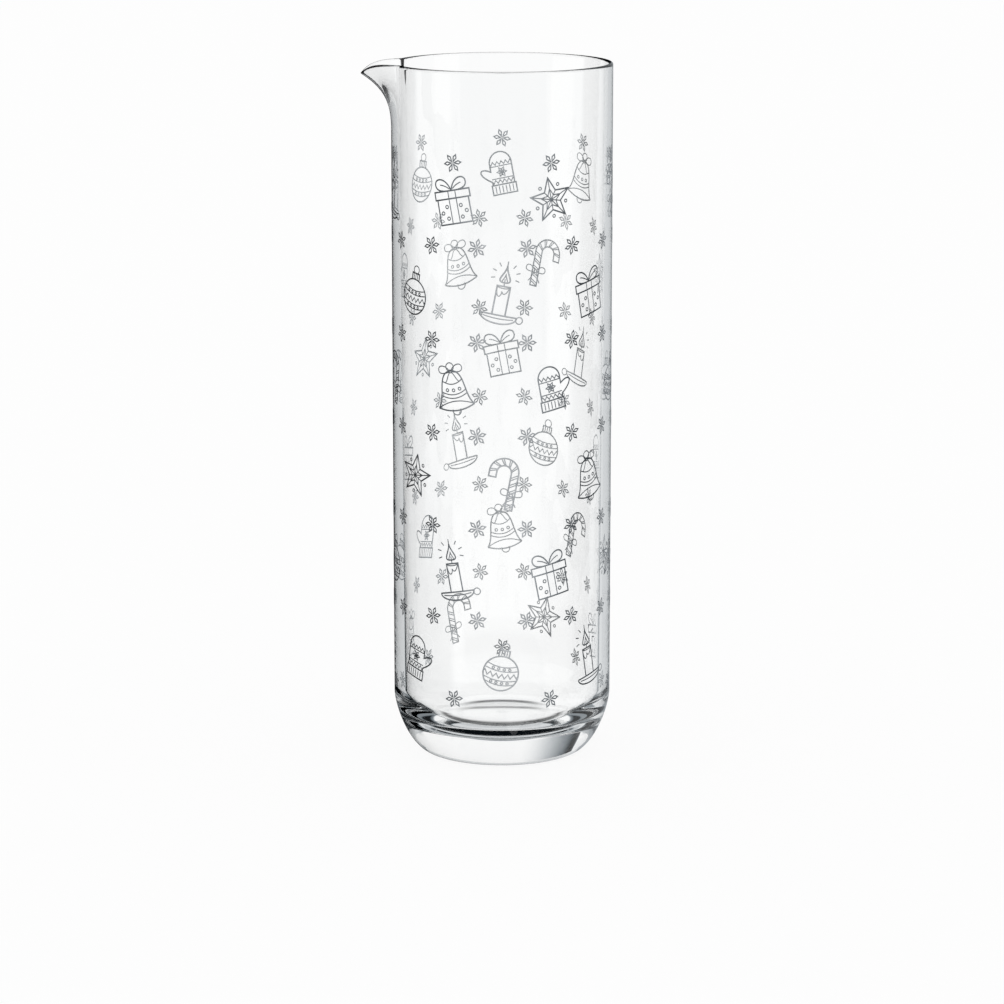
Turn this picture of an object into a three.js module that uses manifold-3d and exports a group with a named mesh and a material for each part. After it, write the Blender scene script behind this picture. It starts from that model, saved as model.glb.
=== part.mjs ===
// A straight-sided glass juice carafe: a heavy rounded base, a tapering wall, a pulled pouring lip
// and a fired-on line print of winter motifs.
// Millimetres, +Z up. The origin is on the body's axis, on the surface that the carafe stands on.
// The pouring lip points to -X, and the front of the print faces -Y.
import * as THREE from "three";
import { mergeVertices } from "three/addons/utils/BufferGeometryUtils.js";
import Module from "manifold-3d";

const wasm = await Module();
wasm.setup();

// Body
const HEIGHT = 270;
const BODY_DIAMETER = 85;
const RIM_WALL = 1.7;
const FLOOR_WALL = 4.8;
const FLOOR_HEIGHT = 12;
const FLOOR_CORNER_RADIUS = 14;

// Rounding between the wall and the flat underside: a superellipse quarter
const BASE_ROUND_RISE = 22.5;
const BASE_ROUND_REACH = 11.4;
const BASE_ROUND_POWER = 1.51;

// Pouring lip, pulled out of the rim
const LIP_REACH = 12.1;
const LIP_DROP = 4.1;
const LIP_DEPTH = 29;
const LIP_HALF_ANGLE = THREE.MathUtils.degToRad(21.3);
const LIP_KEEL_POWER = 3.45;
const LIP_DROP_POWER = 3.7;
const LIP_TIP_ROUND = 0.085;

// Print film: a low ridge of ink for each drawn line
const LINE_WIDTH = 0.6;
const FILM_HEIGHT = 0.25;
const PRINT_GAP = 0.2;
const PRINT_FOOT_MARGIN = 2;
const PRINT_LIP_MARGIN = 1;
const PRINT_ROWS = 6;
const PRINT_COLUMNS = 7;
const CRYSTAL_ROW_STEP = 2;
const MOTIF_TILT = THREE.MathUtils.degToRad(11);

// Motifs of the print
const BAUBLE = {
  radius: 6.8,
  capWidth: 4,
  capHeight: 2.4,
  ringRadius: 1.5,
  teeth: 3,
  toothHeight: 2.2,
  bandDrop: 4,
  bandSag: 1.1,
};
const BELL = {
  width: 15,
  height: 13.5,
  waistInset: 3.75,
  waistHeight: 3.4,
  shoulderReach: 6.3,
  rimSag: 1.8,
  bandPlace: 0.25,
  clapperRadius: 1.7,
  loopRadius: 1.6,
};
const CANDLE = {
  width: 5,
  height: 12,
  wick: 3,
  flameGap: 1.4,
  flameWidth: 4.4,
  flameHeight: 6.5,
  dishWidth: 14,
  dishDepth: 3.4,
  dishOverlap: 0.9,
  dripPlace: 2.4,
  dripTeeth: 2,
  dripHeight: 1.5,
};
const MITTEN = {
  width: 9,
  height: 13,
  thumbReach: 4.4,
  thumbWidth: 4.2,
  thumbRise: 1.4,
  cuffWidth: 10,
  cuffHeight: 3.8,
  knitPlace: 5.5,
  teeth: 2,
  toothHeight: 1.9,
};
const CANE = { width: 2.8, hookRadius: 4.2, leg: 14, tail: 2.2, stripes: 3, slant: 1.6 };
const GIFT = {
  width: 13,
  height: 9.5,
  lidWidth: 14.6,
  lidHeight: 3,
  ribbonWidth: 3,
  bowReach: 6.4,
  bowHeight: 5.6,
};
const STAR = { tips: 5, radius: 8.4, valleyRadius: 3.9 };
const CRYSTAL = { arms: 6, radius: 3.4, armWidth: 0.7, tipWidth: 1.2 };

// Fineness of the facets
const COLUMNS = 60;
const LIP_COLUMN_SHARE = 1 / 3;
const BASE_ROUND_STEPS = 6;
const LIP_STEPS = 7;
const RIM_STEPS = 4;
const CORNER_STEPS = 6;
const CURVE_STEPS = 3;
const CIRCLE_SIDE = 2.6;
const LINE_STEP = 4.6;
const MITRE_LIMIT = 2;

const bodyRadius = BODY_DIAMETER / 2;
const footRadius = bodyRadius - BASE_ROUND_REACH;

// Clear colourless glass
function glassFinish() {
  const finish = new THREE.MeshStandardMaterial({ color: 0xf3f7f7, roughness: 0.03, metalness: 0 });
  finish.transparent = true;
  finish.opacity = 0.3;
  return finish;
}

// Grey fired-on ink with a soft metallic sheen
function inkFinish() {
  return new THREE.MeshStandardMaterial({ color: 0x8f9599, roughness: 0.35, metalness: 0.5 });
}

// Wall thickness at a height: it thins in a straight line from the floor to the rim.
function wallAt(z) {
  return THREE.MathUtils.mapLinear(z, FLOOR_HEIGHT, HEIGHT, FLOOR_WALL, RIM_WALL);
}

// Half of the vessel's section, as radius and height: from the underside's centre out, up, over the rim
// and back in.
function vesselSection() {
  const section = [new THREE.Vector2(0, 0)];
  const rimRadius = RIM_WALL / 2;
  const lipStart = HEIGHT - LIP_DEPTH;
  const lipEnd = HEIGHT - rimRadius;
  const lipLevel = (i) => THREE.MathUtils.lerp(lipStart, lipEnd, Math.sqrt(i / LIP_STEPS));
  for (let i = 0; i <= BASE_ROUND_STEPS; i++) {
    const turn = ((Math.PI / 2) * i) / BASE_ROUND_STEPS;
    const out = Math.sin(turn) ** (2 / BASE_ROUND_POWER);
    const up = 1 - Math.cos(turn) ** (2 / BASE_ROUND_POWER);
    section.push(new THREE.Vector2(footRadius + BASE_ROUND_REACH * out, BASE_ROUND_RISE * up));
  }
  for (let i = 0; i <= LIP_STEPS; i++) {
    section.push(new THREE.Vector2(bodyRadius, lipLevel(i)));
  }
  for (let i = 1; i < RIM_STEPS; i++) {
    const turn = (Math.PI * i) / RIM_STEPS;
    const r = bodyRadius - rimRadius + rimRadius * Math.cos(turn);
    section.push(new THREE.Vector2(r, lipEnd + rimRadius * Math.sin(turn)));
  }
  for (let i = LIP_STEPS; i >= 0; i--) {
    const z = lipLevel(i);
    section.push(new THREE.Vector2(bodyRadius - wallAt(z), z));
  }
  const cornerTop = FLOOR_HEIGHT + FLOOR_CORNER_RADIUS;
  const cornerCentre = bodyRadius - wallAt(cornerTop) - FLOOR_CORNER_RADIUS;
  for (let i = 0; i <= CORNER_STEPS; i++) {
    const turn = ((Math.PI / 2) * i) / CORNER_STEPS;
    const r = cornerCentre + FLOOR_CORNER_RADIUS * Math.cos(turn);
    section.push(new THREE.Vector2(r, cornerTop - FLOOR_CORNER_RADIUS * Math.sin(turn)));
  }
  section.push(new THREE.Vector2(0, FLOOR_HEIGHT));
  return section;
}

// The lip's plan: 1 at its tip, 0 at its two edges. The tip is rounded, and the flanks meet the round body
// in a crease.
function lipPlan(fromTip) {
  const ease = (share) => Math.hypot(share, LIP_TIP_ROUND) - LIP_TIP_ROUND;
  return 1 - ease(Math.min(fromTip, 1)) / ease(1);
}

// Place of a vessel point: columns crowd into the lip's sector, where the rim dips and the wall swells
// outwards.
function pullLip(r, z, column) {
  const side = Math.abs(column);
  const inLip = side / LIP_COLUMN_SHARE;
  const pastLip = (side - LIP_COLUMN_SHARE) / (1 - LIP_COLUMN_SHARE);
  const spread = THREE.MathUtils.lerp(LIP_HALF_ANGLE, Math.PI, pastLip);
  const turn = Math.sign(column) * (inLip < 1 ? LIP_HALF_ANGLE * inLip : spread);
  const plan = lipPlan(inLip);
  const climb = Math.max(0, (z - (HEIGHT - LIP_DEPTH)) / LIP_DEPTH);
  const radius = r + LIP_REACH * plan * climb ** LIP_KEEL_POWER;
  const dip = LIP_DROP * plan ** LIP_DROP_POWER * climb;
  return new THREE.Vector3(-radius * Math.cos(turn), -radius * Math.sin(turn), z - dip);
}

function vesselGeometry() {
  const lathe = new THREE.LatheGeometry(vesselSection(), COLUMNS);
  const place = lathe.getAttribute("position");
  const perColumn = place.count / (COLUMNS + 1);
  for (let i = 0; i < place.count; i++) {
    const column = (2 * Math.floor(i / perColumn)) / COLUMNS - 1;
    const r = Math.hypot(place.getX(i), place.getZ(i));
    const at = pullLip(r, place.getY(i), column);
    place.setXYZ(i, at.x, at.y, at.z);
  }
  lathe.deleteAttribute("normal");
  lathe.deleteAttribute("uv");
  const merged = mergeVertices(lathe);
  merged.computeVertexNormals();
  return merged;
}

// A drawn line: its points, none further than LINE_STEP round the body from the next, and whether it closes.
function drawn(path, closed, steps = CURVE_STEPS) {
  const corners = path.getPoints(steps);
  if (closed && corners[0].distanceTo(corners.at(-1)) > LINE_WIDTH / 10) corners.push(corners[0]);
  const points = [];
  for (let i = 0; i + 1 < corners.length; i++) {
    const pieces = Math.max(1, Math.ceil(Math.abs(corners[i + 1].x - corners[i].x) / LINE_STEP));
    for (let k = 0; k < pieces; k++) points.push(corners[i].clone().lerp(corners[i + 1], k / pieces));
  }
  if (!closed) points.push(corners.at(-1));
  return { points, closed };
}

// The place on a curve as it is drawn, in straight steps, at a share of its length.
function drawnPoint(curve, share) {
  const corners = curve.getPoints(CURVE_STEPS);
  const step = Math.min(Math.floor(share * CURVE_STEPS), CURVE_STEPS - 1);
  return corners[step].clone().lerp(corners[step + 1], share * CURVE_STEPS - step);
}

const line = (path) => drawn(path, false);
const loop = (path) => drawn(path, true);
const polyline = (points) => line(new THREE.Path(points));

function circle(x, y, radius) {
  const halfSides = Math.max(3, Math.round((Math.PI * radius) / CIRCLE_SIDE));
  return drawn(new THREE.Path().absarc(x, y, radius, 0, 2 * Math.PI), true, halfSides);
}

// A zigzag between two ends on the same height.
function zigzag(left, right, y, teeth, height) {
  const points = [new THREE.Vector2(left, y)];
  for (let i = 0; i < 2 * teeth; i++) {
    const x = THREE.MathUtils.lerp(left, right, (i + 0.5) / (2 * teeth));
    points.push(new THREE.Vector2(x, y + (i % 2 ? -height / 2 : height / 2)));
  }
  points.push(new THREE.Vector2(right, y));
  return polyline(points);
}

// A ball ornament with a cap, a hanging ring and two bands.
function bauble() {
  const { radius, capWidth, capHeight, ringRadius, teeth, toothHeight, bandDrop, bandSag } = BAUBLE;
  const middle = -(capHeight + 2 * ringRadius) / 2;
  const capFoot = middle + Math.sqrt(radius ** 2 - (capWidth / 2) ** 2);
  const capTop = middle + radius + capHeight;
  const cap = new THREE.Path().moveTo(-capWidth / 2, capFoot).lineTo(-capWidth / 2, capTop);
  cap.lineTo(capWidth / 2, capTop).lineTo(capWidth / 2, capFoot);
  const bandEnd = Math.sqrt(radius ** 2 - bandDrop ** 2);
  const bandHeight = middle - bandDrop;
  const band = new THREE.Path().moveTo(-bandEnd, bandHeight);
  band.quadraticCurveTo(0, bandHeight - 2 * bandSag, bandEnd, bandHeight);
  const ring = circle(0, capTop + ringRadius - LINE_WIDTH / 4, ringRadius);
  const wave = zigzag(-radius, radius, middle, teeth, toothHeight);
  return [circle(0, middle, radius), line(cap), ring, wave, line(band)];
}

// A bell with a rim band, a clapper and a loop.
function bell() {
  const { width, height, waistInset, waistHeight, shoulderReach, rimSag } = BELL;
  const { bandPlace, clapperRadius, loopRadius } = BELL;
  const foot = -height / 2;
  const top = height / 2;
  const start = new THREE.Vector2(-width / 2, foot);
  const crown = new THREE.Vector2(0, top);
  const waist = new THREE.Vector2(waistInset - width / 2, foot + waistHeight);
  const shoulder = new THREE.Vector2(-shoulderReach, top);
  const side = new THREE.CubicBezierCurve(start, waist, shoulder, crown);
  const outline = new THREE.Path().moveTo(start.x, start.y);
  outline.bezierCurveTo(waist.x, waist.y, shoulder.x, shoulder.y, crown.x, crown.y);
  outline.bezierCurveTo(-shoulder.x, shoulder.y, -waist.x, waist.y, -start.x, start.y);
  outline.quadraticCurveTo(0, foot - 2 * rimSag, start.x, start.y);
  const bandEnd = drawnPoint(side, bandPlace);
  const band = new THREE.Path().moveTo(bandEnd.x, bandEnd.y);
  band.quadraticCurveTo(0, bandEnd.y - 2 * rimSag, -bandEnd.x, bandEnd.y);
  const clapper = circle(0, foot - rimSag - clapperRadius + LINE_WIDTH / 4, clapperRadius);
  const hanger = circle(0, top + loopRadius - LINE_WIDTH / 4, loopRadius);
  return [loop(outline), line(band), clapper, hanger];
}

// A burning candle standing in a dish.
function candle() {
  const { width, height, wick, flameGap, flameWidth, flameHeight } = CANDLE;
  const { dishWidth, dishDepth, dishOverlap, dripPlace, dripTeeth, dripHeight } = CANDLE;
  const foot = (dishDepth - height - flameGap - flameHeight) / 2;
  const top = foot + height;
  const flameFoot = top + flameGap;
  const dishTop = foot + dishOverlap;
  const dishFoot = foot - dishDepth;
  const stem = new THREE.Path().moveTo(-width / 2, foot).lineTo(-width / 2, top);
  stem.lineTo(width / 2, top).lineTo(width / 2, foot).lineTo(-width / 2, foot);
  const flame = new THREE.Path().moveTo(0, flameFoot);
  flame.bezierCurveTo(flameWidth, flameFoot, 0, flameFoot + flameHeight / 2, 0, flameFoot + flameHeight);
  flame.bezierCurveTo(0, flameFoot + flameHeight / 2, -flameWidth, flameFoot, 0, flameFoot);
  const dish = new THREE.Path().moveTo(-dishWidth / 2, dishTop).lineTo(dishWidth / 2, dishTop);
  dish.bezierCurveTo(dishWidth / 2, dishFoot, -dishWidth / 2, dishFoot, -dishWidth / 2, dishTop);
  const thread = polyline([new THREE.Vector2(0, top), new THREE.Vector2(0, top + Math.max(wick, flameGap))]);
  const drip = zigzag(-width / 2, width / 2, top - dripPlace, dripTeeth, dripHeight);
  return [loop(stem), loop(dish), thread, loop(flame), drip];
}

// A knitted mitten with a thumb, a cuff and a zigzag across the hand.
function mitten() {
  const { width, height, thumbReach, thumbWidth, thumbRise } = MITTEN;
  const { cuffWidth, cuffHeight, knitPlace, teeth, toothHeight } = MITTEN;
  const wrist = (cuffHeight - height) / 2;
  const top = wrist + height - width / 2;
  const thumbFoot = wrist + thumbRise;
  const thumbTip = width / 2 + thumbReach;
  const hand = new THREE.Path().moveTo(-width / 2, wrist).lineTo(-width / 2, top);
  hand.absarc(0, top, width / 2, Math.PI, 0, true);
  hand.lineTo(width / 2, thumbFoot + thumbWidth);
  hand.bezierCurveTo(thumbTip, top, thumbTip + thumbWidth / 2, thumbFoot + thumbWidth, width / 2, thumbFoot);
  hand.lineTo(width / 2, wrist);
  const cuff = new THREE.Path().moveTo(-cuffWidth / 2, wrist).lineTo(-cuffWidth / 2, wrist - cuffHeight);
  cuff.lineTo(cuffWidth / 2, wrist - cuffHeight).lineTo(cuffWidth / 2, wrist).lineTo(-cuffWidth / 2, wrist);
  const knit = zigzag(-width / 2, width / 2, wrist + height - knitPlace, teeth, toothHeight);
  const ribs = zigzag(-cuffWidth / 2, cuffWidth / 2, wrist - cuffHeight / 2, teeth, toothHeight);
  return [loop(cuff), line(hand), knit, ribs];
}

// A hooked sugar cane with slanting stripes.
function cane() {
  const { width, hookRadius, leg, tail, stripes, slant } = CANE;
  const outer = hookRadius + width / 2;
  const inner = hookRadius - width / 2;
  const hook = (leg - outer) / 2;
  const foot = hook - leg;
  const outline = new THREE.Path().moveTo(outer, foot).lineTo(outer, hook);
  outline.absarc(0, hook, outer, 0, Math.PI, false).lineTo(-outer, hook - tail);
  outline.lineTo(-inner, hook - tail).lineTo(-inner, hook);
  outline.absarc(0, hook, inner, Math.PI, 0, true).lineTo(inner, foot).lineTo(outer, foot);
  const strokes = [loop(outline)];
  for (let i = 0; i < stripes; i++) {
    const y = foot + (leg * (i + 0.5)) / stripes - slant / 2;
    strokes.push(polyline([new THREE.Vector2(inner, y), new THREE.Vector2(outer, y + slant)]));
    const turn = (Math.PI * (i + 0.5)) / stripes;
    const from = new THREE.Vector2(inner, 0).rotateAround(new THREE.Vector2(), turn);
    const to = new THREE.Vector2(outer, 0).rotateAround(new THREE.Vector2(), turn + slant / outer);
    strokes.push(polyline([from, to].map((point) => point.add(new THREE.Vector2(0, hook)))));
  }
  return strokes;
}

// A lidded parcel with a ribbon and a bow.
function gift() {
  const { width, height, lidWidth, lidHeight, ribbonWidth, bowReach, bowHeight } = GIFT;
  const lidFoot = (height - lidHeight - bowHeight) / 2;
  const lidTop = lidFoot + lidHeight;
  const foot = lidFoot - height;
  const lid = new THREE.Path().moveTo(-lidWidth / 2, lidFoot).lineTo(-lidWidth / 2, lidTop);
  lid.lineTo(lidWidth / 2, lidTop).lineTo(lidWidth / 2, lidFoot).lineTo(-lidWidth / 2, lidFoot);
  const box = new THREE.Path().moveTo(-width / 2, lidFoot).lineTo(-width / 2, foot);
  box.lineTo(width / 2, foot).lineTo(width / 2, lidFoot);
  const strokes = [loop(lid), line(box)];
  for (const side of [-1, 1]) {
    const x = (side * ribbonWidth) / 2;
    strokes.push(polyline([new THREE.Vector2(x, foot), new THREE.Vector2(x, lidFoot)]));
    const reach = side * bowReach;
    const bow = new THREE.Path().moveTo(0, lidTop);
    bow.bezierCurveTo(x, lidTop + bowHeight, reach, lidTop + bowHeight, reach, lidTop + bowHeight / 2);
    bow.quadraticCurveTo(reach, lidTop, x, lidTop);
    strokes.push(line(bow));
  }
  return strokes;
}

// A faceted star: a ridge runs from each tip over the middle to the valley across from it.
function star() {
  const { tips, radius, valleyRadius } = STAR;
  const corners = [];
  for (let i = 0; i < 2 * tips; i++) {
    const reach = new THREE.Vector2(0, i % 2 ? valleyRadius : radius);
    corners.push(reach.rotateAround(new THREE.Vector2(), (Math.PI * i) / tips));
  }
  const strokes = [loop(new THREE.Path(corners))];
  for (let i = 0; i < corners.length; i += 2) {
    const across = corners[i].clone().multiplyScalar(-valleyRadius / radius);
    strokes.push(polyline([corners[i], across]));
  }
  return strokes;
}

// The unit direction across a line at each of its points, lengthened at corners so that the line keeps
// its width.
function acrossAt(points, closed, i) {
  const before = points[closed ? (i + points.length - 1) % points.length : Math.max(i - 1, 0)];
  const after = points[closed ? (i + 1) % points.length : Math.min(i + 1, points.length - 1)];
  const arrive = points[i].clone().sub(before).normalize();
  const leave = after.clone().sub(points[i]).normalize();
  const along = arrive.clone().add(leave).normalize();
  const bend = Math.max(along.dot(leave.lengthSq() ? leave : arrive), 1 / MITRE_LIMIT);
  return new THREE.Vector2(-along.y, along.x).divideScalar(bend);
}

// A point of a flat drawing, laid round the body: u to the right, v up and lift off the glass.
function wrapped(u, v, lift, bearing, height) {
  const turn = bearing + u / bodyRadius;
  const radius = bodyRadius + PRINT_GAP + lift;
  return [radius * Math.sin(turn), -radius * Math.cos(turn), height + v];
}

// One drawn line as a closed ridge of ink on the body.
function ridge({ points, closed }, base, crest, bearing, height) {
  const corners = [];
  points.forEach((point, i) => {
    const half = acrossAt(points, closed, i).multiplyScalar(LINE_WIDTH / 2);
    corners.push(...wrapped(point.x + half.x, point.y + half.y, base, bearing, height));
    corners.push(...wrapped(point.x, point.y, crest, bearing, height));
    corners.push(...wrapped(point.x - half.x, point.y - half.y, base, bearing, height));
  });
  const faces = [];
  const spans = closed ? points.length : points.length - 1;
  for (let i = 0; i < spans; i++) {
    const near = 3 * i;
    const far = 3 * ((i + 1) % points.length);
    for (let k = 0; k < 3; k++) {
      const next = (k + 1) % 3;
      faces.push(near + k, near + next, far + next, near + k, far + next, far + k);
    }
  }
  const last = 3 * spans;
  if (!closed) faces.push(0, 2, 1, last, last + 1, last + 2);
  const mesh = new wasm.Mesh({
    numProp: 3,
    vertProperties: new Float32Array(corners),
    triVerts: new Uint32Array(faces),
  });
  return new wasm.Manifold(mesh);
}

// A motif's lines joined into one film. Each later line is a little lower and thinner, so that crossings
// cut cleanly.
function filmGeometry(strokes, bearing, height, tilt) {
  let film = null;
  strokes.forEach((stroke, i) => {
    const points = stroke.points.map((point) => point.clone().rotateAround(new THREE.Vector2(), tilt));
    const inset = (FILM_HEIGHT * i) / (4 * strokes.length);
    const made = ridge({ points, closed: stroke.closed }, inset, FILM_HEIGHT - inset, bearing, height);
    film = film ? film.add(made) : made;
  });
  const mesh = film.getMesh();
  const geometry = new THREE.BufferGeometry();
  geometry.setAttribute("position", new THREE.BufferAttribute(mesh.vertProperties, mesh.numProp));
  geometry.setIndex(new THREE.BufferAttribute(mesh.triVerts, 1));
  geometry.computeVertexNormals();
  return geometry;
}

// A six-armed frost crystal, small enough to lie flat against the body.
function crystalGeometry() {
  const { arms, radius, armWidth, tipWidth } = CRYSTAL;
  const armTurn = (2 * Math.PI) / arms;
  const valley = armWidth / 2 / Math.sin(armTurn / 2);
  const outline = [];
  for (let arm = 0; arm < arms; arm++) {
    const points = [
      new THREE.Vector2(valley, 0).rotateAround(new THREE.Vector2(), -armTurn / 2),
      new THREE.Vector2(radius, -tipWidth / 2),
      new THREE.Vector2(radius, tipWidth / 2),
    ];
    outline.push(...points.map((point) => point.rotateAround(new THREE.Vector2(), armTurn * arm)));
  }
  return new THREE.ExtrudeGeometry(new THREE.Shape(outline), { depth: FILM_HEIGHT, bevelEnabled: false });
}

const carafe = new THREE.Group();
const vessel = new THREE.Mesh(vesselGeometry(), glassFinish());
vessel.name = "glass_body";
carafe.add(vessel);

// The print stands in staggered rows on the straight wall, between the rounded base and the lip.
const MOTIFS = [bauble, candle, gift, star, cane, bell, mitten];
const printFoot = BASE_ROUND_RISE + PRINT_FOOT_MARGIN;
const printTop = HEIGHT - LIP_DEPTH - PRINT_LIP_MARGIN;
const rowPitch = (printTop - printFoot) / PRINT_ROWS;
const columnTurn = (2 * Math.PI) / PRINT_COLUMNS;
const counts = new Map();

// A mesh of ink, numbered among those of its kind.
function printMesh(geometry, kind) {
  const count = (counts.get(kind) ?? 0) + 1;
  counts.set(kind, count);
  const print = new THREE.Mesh(geometry, inkFinish());
  print.name = `${kind}_print_${count}`;
  return print;
}

for (let row = 0; row < PRINT_ROWS; row++) {
  const height = printFoot + rowPitch * (row + 0.5);
  for (let column = 0; column < PRINT_COLUMNS; column++) {
    const bearing = columnTurn * (column + (row % 2) / 2);
    const motif = MOTIFS[(column + 2 * row) % MOTIFS.length];
    const tilt = MOTIF_TILT * ((column + row) % 2 ? 1 : -1);
    carafe.add(printMesh(filmGeometry(motif(), bearing, height, tilt), motif.name));
  }
}

// Frost crystals lie midway between neighbours of two rows, in every second gap, each turned to face out
// from the body's axis.
for (let row = CRYSTAL_ROW_STEP; row < PRINT_ROWS; row += CRYSTAL_ROW_STEP) {
  for (let column = 0; column < PRINT_COLUMNS; column++) {
    const crystal = printMesh(crystalGeometry(), "crystal");
    crystal.rotation.x = Math.PI / 2;
    crystal.position.y = -(bodyRadius + PRINT_GAP);
    const spoke = new THREE.Group();
    spoke.rotation.z = columnTurn * (column + 0.25);
    spoke.position.z = printFoot + rowPitch * row;
    spoke.add(crystal);
    carafe.add(spoke);
  }
}

export default carafe;
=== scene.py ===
"""A straight-sided glass juice carafe with a fired-on winter print, dressed for a studio picture.

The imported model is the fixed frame: +Z is up, the origin lies on the body's axis on the standing surface,
the pouring lip points to -X and the front of the print faces -Y. Sizes below are in millimetres, as they
were drawn, and become metres where a mesh or the camera is made.
"""

import logging
import math
from dataclasses import dataclass, field
from enum import Enum
from typing import Any, Iterable, Optional, Sequence, Union

import bpy
import numpy as np
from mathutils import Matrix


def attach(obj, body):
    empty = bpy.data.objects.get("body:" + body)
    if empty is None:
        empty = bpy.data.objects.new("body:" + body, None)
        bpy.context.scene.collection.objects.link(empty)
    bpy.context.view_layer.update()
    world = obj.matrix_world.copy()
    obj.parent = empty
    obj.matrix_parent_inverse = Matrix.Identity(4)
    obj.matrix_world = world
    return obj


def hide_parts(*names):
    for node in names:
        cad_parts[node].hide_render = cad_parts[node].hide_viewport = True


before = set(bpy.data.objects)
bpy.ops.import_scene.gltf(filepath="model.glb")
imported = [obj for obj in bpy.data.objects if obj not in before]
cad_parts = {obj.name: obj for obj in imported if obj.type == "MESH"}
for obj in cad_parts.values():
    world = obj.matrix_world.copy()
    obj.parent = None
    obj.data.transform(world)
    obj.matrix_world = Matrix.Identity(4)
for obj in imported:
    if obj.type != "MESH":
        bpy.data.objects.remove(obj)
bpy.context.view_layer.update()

MM = 0.001
BODY = "root"
PHOTO_SIDE = 1004

Point = tuple[float, float]
Colour = tuple[float, float, float, float]

log = logging.getLogger("carafe")


class Slot(Enum):
    """The record's material slots."""

    GLASS = "clear_glass"
    INK = "print_ink"


class Weight(Enum):
    """Widths of the printed lines, in millimetres."""

    OUTLINE = 0.58
    DETAIL = 0.42
    FROST = 0.48


# Meshes


@dataclass
class Shell:
    """Points and faces of one or more surfaces, before they become a mesh.

    Attributes:
        points: Corner places in millimetres, one row each.
        faces: Arrays of corner numbers. Faces in one array have the same number of corners.
    """

    points: np.ndarray
    faces: list[np.ndarray]

    @staticmethod
    def joined(shells: Sequence["Shell"]) -> "Shell":
        """Several shells as one, with the corner numbers of each moved past those before it.

        Args:
            shells: The shells to join.

        Returns:
            One shell that holds them all.
        """
        counts = [len(shell.points) for shell in shells]
        starts = np.concatenate(([0], np.cumsum(counts)[:-1])).astype(int)
        faces = [part + start for shell, start in zip(shells, starts) for part in shell.faces]
        return Shell(np.concatenate([shell.points for shell in shells]), faces)

    def to_object(self, name: str, material: bpy.types.Material, smooth: bool = True) -> bpy.types.Object:
        """Makes a mesh object of the shell, at the origin, in metres.

        Args:
            name: The piece's name.
            material: The finish that covers it.
            smooth: Whether its faces shade as one rounded surface.

        Returns:
            The new object, linked to the scene.
        """
        corners = np.concatenate([part.ravel() for part in self.faces]).astype(np.int32)
        sizes = np.concatenate([np.full(len(part), part.shape[1]) for part in self.faces])
        starts = np.concatenate(([0], np.cumsum(sizes)[:-1])).astype(np.int32)
        mesh = bpy.data.meshes.new(name)
        mesh.vertices.add(len(self.points))
        mesh.vertices.foreach_set("co", (self.points * MM).astype(np.float32).ravel())
        mesh.loops.add(len(corners))
        mesh.loops.foreach_set("vertex_index", corners)
        mesh.polygons.add(len(starts))
        mesh.polygons.foreach_set("loop_start", starts)
        mesh.polygons.foreach_set("use_smooth", np.full(len(starts), smooth))
        mesh.update(calc_edges=True)
        mesh.validate()
        mesh.materials.append(material)
        piece = bpy.data.objects.new(name, mesh)
        bpy.context.scene.collection.objects.link(piece)
        return piece


def pairs(first: Union[np.ndarray, float], second: Union[np.ndarray, float]) -> np.ndarray:
    """Two coordinates as the columns of an array. A single number stands for a whole column."""
    return np.stack(np.broadcast_arrays(first, second), axis=1)


def ring_quads(rings: int, sides: int, closed: bool) -> np.ndarray:
    """Quads between neighbouring rings of points, which are numbered ring by ring.

    Args:
        rings: Number of rings.
        sides: Points in a ring.
        closed: Whether the last ring meets the first.

    Returns:
        An array of four corner numbers for each quad.
    """
    row, column = np.indices((rings if closed else rings - 1, sides))
    next_row, next_column = (row + 1) % rings, (column + 1) % sides
    corners = (
        row * sides + column,
        row * sides + next_column,
        next_row * sides + next_column,
        next_row * sides + column,
    )
    return np.stack(corners, axis=-1).reshape(-1, 4)


def fan(middle: int, first: int, count: int) -> np.ndarray:
    """Corner numbers of the triangles from a middle point to the ring of points from the first."""
    here = np.arange(count)
    return np.stack((np.full(count, middle), first + here, first + (here + 1) % count), axis=1)


def finish_piece(piece: bpy.types.Object, nodes: Iterable[str]) -> None:
    """Ties a piece to the frame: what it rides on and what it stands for.

    Args:
        piece: The finished object.
        nodes: Names of the CAD nodes that it replaces.
    """
    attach(piece, BODY)
    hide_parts(*nodes)
    log.info("%s: %d faces", piece.name, len(piece.data.polygons))


# Shader maths


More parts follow.
